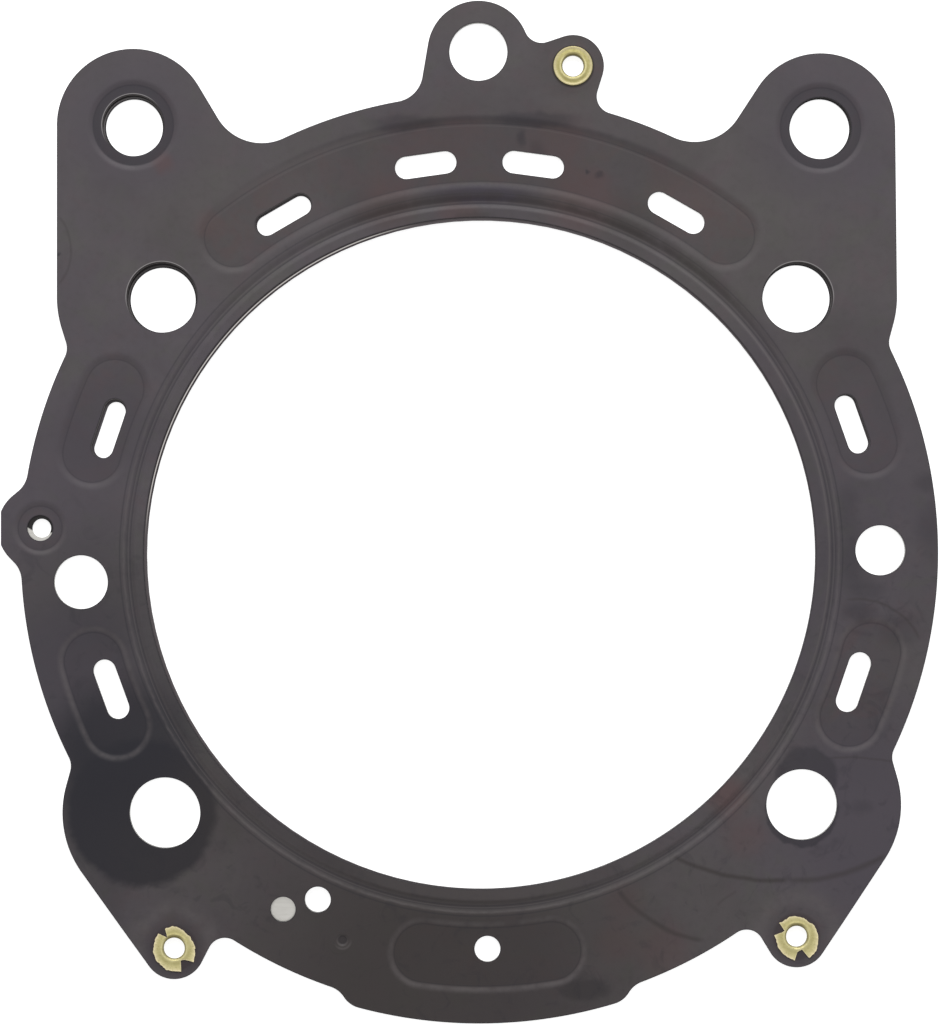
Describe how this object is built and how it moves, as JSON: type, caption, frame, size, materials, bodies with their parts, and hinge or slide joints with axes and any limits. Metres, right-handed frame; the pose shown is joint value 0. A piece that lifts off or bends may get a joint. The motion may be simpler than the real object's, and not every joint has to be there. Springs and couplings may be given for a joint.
{
  "type": "cylinder head gasket",
  "caption": "Flat head gasket for one large cylinder: layered coated steel ring with a bead round the opening, coolant slots, bolt and stud holes, ears, tabs and brass eyelets.",
  "frame": {"origin": "on the axis of the cylinder opening, in the plane of the lower bead sheet's underside, which lies on the cylinder block", "axes": "+Z along the cylinder towards the head, out of the face with the torn eyelets; +Y towards the three tabs with bolt holes; +X to the right of the two of them seen from that face"},
  "size_m": [0.15, 0.1636, 0.0014],
  "materials": {
    "coated_steel": "satin, dark grey rubber coating on spring steel, slightly mottled",
    "bare_steel": "bare rolled steel",
    "brass_plate": "dull brass-plated eyelets"
  },
  "bodies": {
    "root": {"top_bead_sheet": "coated_steel", "carrier_sheet": "bare_steel", "stopper_ring": "bare_steel", "bottom_bead_sheet": "coated_steel", "eyelet_top": "brass_plate", "eyelet_left": "brass_plate", "eyelet_right": "brass_plate"}
  },
  "joints": []
}
